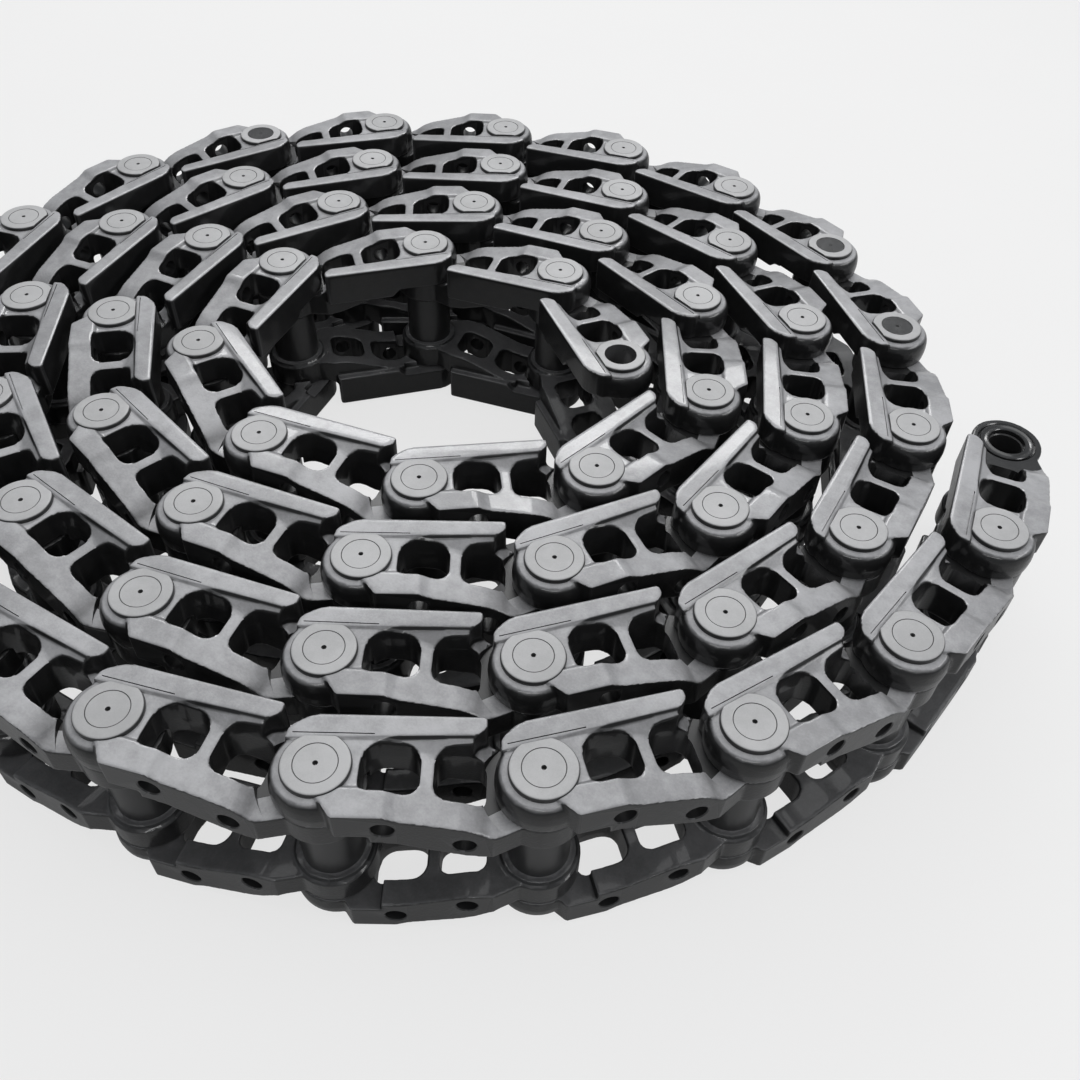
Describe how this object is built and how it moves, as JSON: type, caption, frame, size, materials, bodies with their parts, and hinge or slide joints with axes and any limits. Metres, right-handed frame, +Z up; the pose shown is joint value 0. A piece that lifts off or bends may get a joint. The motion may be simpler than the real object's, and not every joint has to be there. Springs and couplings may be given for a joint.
{
  "type": "excavator track chain",
  "caption": "Coiled excavator track chain without shoes: pairs of forged offset links hinged on pressed pins and bushes, rails facing the centre and shoe bolt holes facing out.",
  "frame": {"origin": "middle of the coil's box, on the floor it lies on", "axes": "+Z up along the pins; the outermost section lies along Y with its shoe face towards +X"},
  "size_m": [1.3858, 1.2338, 0.216],
  "materials": {
    "links": "satin black paint over forged steel",
    "pins": "thin dark grey paint on machined pin ends",
    "bushes": "satin black paint on turned steel",
    "seals": "black rubber"
  },
  "bodies": {
    "track_section_01": {"upper_link_01": "links", "lower_link_01": "links", "pin_01": "pins", "bush_01": "bushes", "seal_rings_01": "seals"},
    "track_section_02": {"section_02": "links"},
    "track_section_03": {"section_03": "links"},
    "track_section_04": {"section_04": "links"},
    "track_section_05": {"section_05": "links"},
    "track_section_06": {"section_06": "links"},
    "track_section_07": {"section_07": "links"},
    "track_section_08": {"section_08": "links"},
    "track_section_09": {"section_09": "links"},
    "track_section_10": {"section_10": "links"},
    "track_section_11": {"section_11": "links"},
    "track_section_12": {"section_12": "links"},
    "track_section_13": {"section_13": "links"},
    "track_section_14": {"section_14": "links"},
    "track_section_15": {"section_15": "links"},
    "track_section_16": {"section_16": "links"},
    "track_section_17": {"section_17": "links"},
    "track_section_18": {"section_18": "links"},
    "track_section_19": {"section_19": "links"},
    "track_section_20": {"section_20": "links"},
    "track_section_21": {"section_21": "links"},
    "track_section_22": {"section_22": "links"},
    "track_section_23": {"section_23": "links"},
    "track_section_24": {"section_24": "links"},
    "track_section_25": {"section_25": "links"},
    "track_section_26": {"section_26": "links"},
    "track_section_27": {"section_27": "links"},
    "track_section_28": {"section_28": "links"},
    "track_section_29": {"section_29": "links"},
    "track_section_30": {"section_30": "links"},
    "track_section_31": {"section_31": "links"},
    "track_section_32": {"section_32": "links"},
    "track_section_33": {"section_33": "links"},
    "track_section_34": {"section_34": "links"},
    "track_section_35": {"section_35": "links"},
    "track_section_36": {"section_36": "links"},
    "track_section_37": {"section_37": "links"},
    "track_section_38": {"section_38": "links"},
    "track_section_39": {"section_39": "links"},
    "track_section_40": {"section_40": "links"},
    "track_section_41": {"section_41": "links"},
    "track_section_42": {"section_42": "links"},
    "track_section_43": {"section_43": "links"},
    "track_section_44": {"section_44": "links"},
    "track_section_45": {"section_45": "links"},
    "track_section_46": {"section_46": "links"},
    "track_section_47": {"section_47": "links"},
    "track_section_48": {"section_48": "links"},
    "track_section_49": {"section_49": "links"},
    "track_section_50": {"section_50": "links"},
    "track_section_51": {"section_51": "links"},
    "track_section_52": {"section_52": "links"},
    "track_section_53": {"section_53": "links"},
    "track_section_54": {"section_54": "links"},
    "track_section_55": {"section_55": "links"},
    "track_section_56": {"section_56": "links"}
  },
  "joints": [
    {"name": "pin_hinge_55", "type": "hinge", "parent": "track_section_56", "child": "track_section_55", "pos_m": [0.05641, 0.21889, 0.108], "axis": [0, 0, -1], "range_deg": [-0.3, 1.2]},
    {"name": "pin_hinge_54", "type": "hinge", "parent": "track_section_55", "child": "track_section_54", "pos_m": [-0.1327, 0.20056, 0.108], "axis": [0, 0, -1], "range_deg": [-0.3, 1.2]},
    {"name": "pin_hinge_53", "type": "hinge", "parent": "track_section_54", "child": "track_section_53", "pos_m": [-0.28026, 0.08087, 0.108], "axis": [0, 0, -1], "range_deg": [-0.3, 1.2]},
    {"name": "pin_hinge_52", "type": "hinge", "parent": "track_section_53", "child": "track_section_52", "pos_m": [-0.27585, -0.10908, 0.108], "axis": [0, 0, -1], "range_deg": [-0.3, 1.2]},
    {"name": "pin_hinge_51", "type": "hinge", "parent": "track_section_52", "child": "track_section_51", "pos_m": [-0.11994, -0.21768, 0.108], "axis": [0, 0, -1], "range_deg": [-0.3, 1.2]},
    {"name": "pin_hinge_50", "type": "hinge", "parent": "track_section_51", "child": "track_section_50", "pos_m": [0.0697, -0.20611, 0.108], "axis": [0, 0, -1], "range_deg": [-0.3, 1.2]},
    {"name": "pin_hinge_49", "type": "hinge", "parent": "track_section_50", "child": "track_section_49", "pos_m": [0.23358, -0.10996, 0.108], "axis": [0, 0, -1], "range_deg": [-0.3, 1.2]},
    {"name": "pin_hinge_48", "type": "hinge", "parent": "track_section_49", "child": "track_section_48", "pos_m": [0.30607, 0.06567, 0.108], "axis": [0, 0, -1], "range_deg": [-0.3, 1.2]},
    {"name": "pin_hinge_47", "type": "hinge", "parent": "track_section_48", "child": "track_section_47", "pos_m": [0.23782, 0.24299, 0.108], "axis": [0, 0, -1], "range_deg": [-0.3, 1.2]},
    {"name": "pin_hinge_46", "type": "hinge", "parent": "track_section_47", "child": "track_section_46", "pos_m": [0.07049, 0.33299, 0.108], "axis": [0, 0, -1], "range_deg": [-0.3, 1.2]},
    {"name": "pin_hinge_45", "type": "hinge", "parent": "track_section_46", "child": "track_section_45", "pos_m": [-0.11933, 0.32464, 0.108], "axis": [0, 0, -1], "range_deg": [-0.3, 1.2]},
    {"name": "pin_hinge_44", "type": "hinge", "parent": "track_section_45", "child": "track_section_44", "pos_m": [-0.29013, 0.24142, 0.108], "axis": [0, 0, -1], "range_deg": [-0.3, 1.2]},
    {"name": "pin_hinge_43", "type": "hinge", "parent": "track_section_44", "child": "track_section_43", "pos_m": [-0.40045, 0.08673, 0.108], "axis": [0, 0, -1], "range_deg": [-0.3, 1.2]},
    {"name": "pin_hinge_42", "type": "hinge", "parent": "track_section_43", "child": "track_section_42", "pos_m": [-0.40395, -0.10324, 0.108], "axis": [0, 0, -1], "range_deg": [-0.3, 1.2]},
    {"name": "pin_hinge_41", "type": "hinge", "parent": "track_section_42", "child": "track_section_41", "pos_m": [-0.29617, -0.25971, 0.108], "axis": [0, 0, -1], "range_deg": [-0.3, 1.2]},
    {"name": "pin_hinge_40", "type": "hinge", "parent": "track_section_41", "child": "track_section_40", "pos_m": [-0.12149, -0.33446, 0.108], "axis": [0, 0, -1], "range_deg": [-0.3, 1.2]},
    {"name": "pin_hinge_39", "type": "hinge", "parent": "track_section_40", "child": "track_section_39", "pos_m": [0.06833, -0.32615, 0.108], "axis": [0, 0, -1], "range_deg": [-0.3, 1.2]},
    {"name": "pin_hinge_38", "type": "hinge", "parent": "track_section_39", "child": "track_section_38", "pos_m": [0.24256, -0.25037, 0.108], "axis": [0, 0, -1], "range_deg": [-0.3, 1.2]},
    {"name": "pin_hinge_37", "type": "hinge", "parent": "track_section_38", "child": "track_section_37", "pos_m": [0.37213, -0.11141, 0.108], "axis": [0, 0, -1], "range_deg": [-0.3, 1.2]},
    {"name": "pin_hinge_36", "type": "hinge", "parent": "track_section_37", "child": "track_section_36", "pos_m": [0.42141, 0.07209, 0.108], "axis": [0, 0, -1], "range_deg": [-0.3, 1.2]},
    {"name": "pin_hinge_35", "type": "hinge", "parent": "track_section_36", "child": "track_section_35", "pos_m": [0.37186, 0.25552, 0.108], "axis": [0, 0, -1], "range_deg": [-0.3, 1.2]},
    {"name": "pin_hinge_34", "type": "hinge", "parent": "track_section_35", "child": "track_section_34", "pos_m": [0.23822, 0.39057, 0.108], "axis": [0, 0, -1], "range_deg": [-0.3, 1.2]},
    {"name": "pin_hinge_33", "type": "hinge", "parent": "track_section_34", "child": "track_section_33", "pos_m": [0.05832, 0.45169, 0.108], "axis": [0, 0, -1], "range_deg": [-0.3, 1.2]},
    {"name": "pin_hinge_32", "type": "hinge", "parent": "track_section_33", "child": "track_section_32", "pos_m": [-0.13138, 0.44098, 0.108], "axis": [0, 0, -1], "range_deg": [-0.3, 1.2]},
    {"name": "pin_hinge_31", "type": "hinge", "parent": "track_section_32", "child": "track_section_31", "pos_m": [-0.30725, 0.36909, 0.108], "axis": [0, 0, -1], "range_deg": [-0.3, 1.2]},
    {"name": "pin_hinge_30", "type": "hinge", "parent": "track_section_31", "child": "track_section_30", "pos_m": [-0.44722, 0.2406, 0.108], "axis": [0, 0, -1], "range_deg": [-0.3, 1.2]},
    {"name": "pin_hinge_29", "type": "hinge", "parent": "track_section_30", "child": "track_section_29", "pos_m": [-0.52441, 0.06699, 0.108], "axis": [0, 0, -1], "range_deg": [-0.3, 1.2]},
    {"name": "pin_hinge_28", "type": "hinge", "parent": "track_section_29", "child": "track_section_28", "pos_m": [-0.51883, -0.12293, 0.108], "axis": [0, 0, -1], "range_deg": [-0.3, 1.2]},
    {"name": "pin_hinge_27", "type": "hinge", "parent": "track_section_28", "child": "track_section_27", "pos_m": [-0.4301, -0.29094, 0.108], "axis": [0, 0, -1], "range_deg": [-0.3, 1.2]},
    {"name": "pin_hinge_26", "type": "hinge", "parent": "track_section_27", "child": "track_section_26", "pos_m": [-0.27868, -0.40571, 0.108], "axis": [0, 0, -1], "range_deg": [-0.3, 1.2]},
    {"name": "pin_hinge_25", "type": "hinge", "parent": "track_section_26", "child": "track_section_25", "pos_m": [-0.09493, -0.45404, 0.108], "axis": [0, 0, -1], "range_deg": [-0.3, 1.2]},
    {"name": "pin_hinge_24", "type": "hinge", "parent": "track_section_25", "child": "track_section_24", "pos_m": [0.09448, -0.43913, 0.108], "axis": [0, 0, -1], "range_deg": [-0.3, 1.2]},
    {"name": "pin_hinge_23", "type": "hinge", "parent": "track_section_24", "child": "track_section_23", "pos_m": [0.27086, -0.36849, 0.108], "axis": [0, 0, -1], "range_deg": [-0.3, 1.2]},
    {"name": "pin_hinge_22", "type": "hinge", "parent": "track_section_23", "child": "track_section_22", "pos_m": [0.41655, -0.24653, 0.108], "axis": [0, 0, -1], "range_deg": [-0.3, 1.2]},
    {"name": "pin_hinge_21", "type": "hinge", "parent": "track_section_22", "child": "track_section_21", "pos_m": [0.51083, -0.08157, 0.108], "axis": [0, 0, -1], "range_deg": [-0.3, 1.2]},
    {"name": "pin_hinge_20", "type": "hinge", "parent": "track_section_21", "child": "track_section_20", "pos_m": [0.53585, 0.10678, 0.108], "axis": [0, 0, -1], "range_deg": [-0.3, 1.2]},
    {"name": "pin_hinge_19", "type": "hinge", "parent": "track_section_20", "child": "track_section_19", "pos_m": [0.48519, 0.2899, 0.108], "axis": [0, 0, -1], "range_deg": [-0.3, 1.2]},
    {"name": "pin_hinge_18", "type": "hinge", "parent": "track_section_19", "child": "track_section_18", "pos_m": [0.36759, 0.43913, 0.108], "axis": [0, 0, -1], "range_deg": [-0.3, 1.2]},
    {"name": "pin_hinge_17", "type": "hinge", "parent": "track_section_18", "child": "track_section_17", "pos_m": [0.20353, 0.53497, 0.108], "axis": [0, 0, -1], "range_deg": [-0.3, 1.2]},
    {"name": "pin_hinge_16", "type": "hinge", "parent": "track_section_17", "child": "track_section_16", "pos_m": [0.01697, 0.57098, 0.108], "axis": [0, 0, -1], "range_deg": [-0.3, 1.2]},
    {"name": "pin_hinge_15", "type": "hinge", "parent": "track_section_16", "child": "track_section_15", "pos_m": [-0.17192, 0.5505, 0.108], "axis": [0, 0, -1], "range_deg": [-0.3, 1.2]},
    {"name": "pin_hinge_14", "type": "hinge", "parent": "track_section_15", "child": "track_section_14", "pos_m": [-0.34798, 0.47906, 0.108], "axis": [0, 0, -1], "range_deg": [-0.3, 1.2]},
    {"name": "pin_hinge_13", "type": "hinge", "parent": "track_section_14", "child": "track_section_13", "pos_m": [-0.49663, 0.36072, 0.108], "axis": [0, 0, -1], "range_deg": [-0.3, 1.2]},
    {"name": "pin_hinge_12", "type": "hinge", "parent": "track_section_13", "child": "track_section_12", "pos_m": [-0.60138, 0.20221, 0.108], "axis": [0, 0, -1], "range_deg": [-0.3, 1.2]},
    {"name": "pin_hinge_11", "type": "hinge", "parent": "track_section_12", "child": "track_section_11", "pos_m": [-0.64715, 0.0178, 0.108], "axis": [0, 0, -1], "range_deg": [-0.3, 1.2]},
    {"name": "pin_hinge_10", "type": "hinge", "parent": "track_section_11", "child": "track_section_10", "pos_m": [-0.6257, -0.17098, 0.108], "axis": [0, 0, -1], "range_deg": [-0.3, 30.6]},
    {"name": "pin_hinge_09", "type": "hinge", "parent": "track_section_10", "child": "track_section_09", "pos_m": [-0.53929, -0.3402, 0.108], "axis": [0, 0, -1], "range_deg": [-0.3, 30]},
    {"name": "pin_hinge_08", "type": "hinge", "parent": "track_section_09", "child": "track_section_08", "pos_m": [-0.40028, -0.46973, 0.108], "axis": [0, 0, -1], "range_deg": [-0.3, 28.7]},
    {"name": "pin_hinge_07", "type": "hinge", "parent": "track_section_08", "child": "track_section_07", "pos_m": [-0.22707, -0.54782, 0.108], "axis": [0, 0, -1], "range_deg": [-0.3, 27]},
    {"name": "pin_hinge_06", "type": "hinge", "parent": "track_section_07", "child": "track_section_06", "pos_m": [-0.03859, -0.57178, 0.108], "axis": [0, 0, -1], "range_deg": [-0.3, 25.4]},
    {"name": "pin_hinge_05", "type": "hinge", "parent": "track_section_06", "child": "track_section_05", "pos_m": [0.14947, -0.54471, 0.108], "axis": [0, 0, -1], "range_deg": [-0.3, 24.7]},
    {"name": "pin_hinge_04", "type": "hinge", "parent": "track_section_05", "child": "track_section_04", "pos_m": [0.32454, -0.47086, 0.108], "axis": [0, 0, -1], "range_deg": [-0.3, 25.1]},
    {"name": "pin_hinge_03", "type": "hinge", "parent": "track_section_04", "child": "track_section_03", "pos_m": [0.4743, -0.35393, 0.108], "axis": [0, 0, -1], "range_deg": [-0.3, 26.3]},
    {"name": "pin_hinge_02", "type": "hinge", "parent": "track_section_03", "child": "track_section_02", "pos_m": [0.5853, -0.19973, 0.108], "axis": [0, 0, -1], "range_deg": [-0.3, 27.5]},
    {"name": "pin_hinge_01", "type": "hinge", "parent": "track_section_02", "child": "track_section_01", "pos_m": [0.64492, -0.01933, 0.108], "axis": [0, 0, -1], "range_deg": [-0.3, 28.3]}
  ]
}
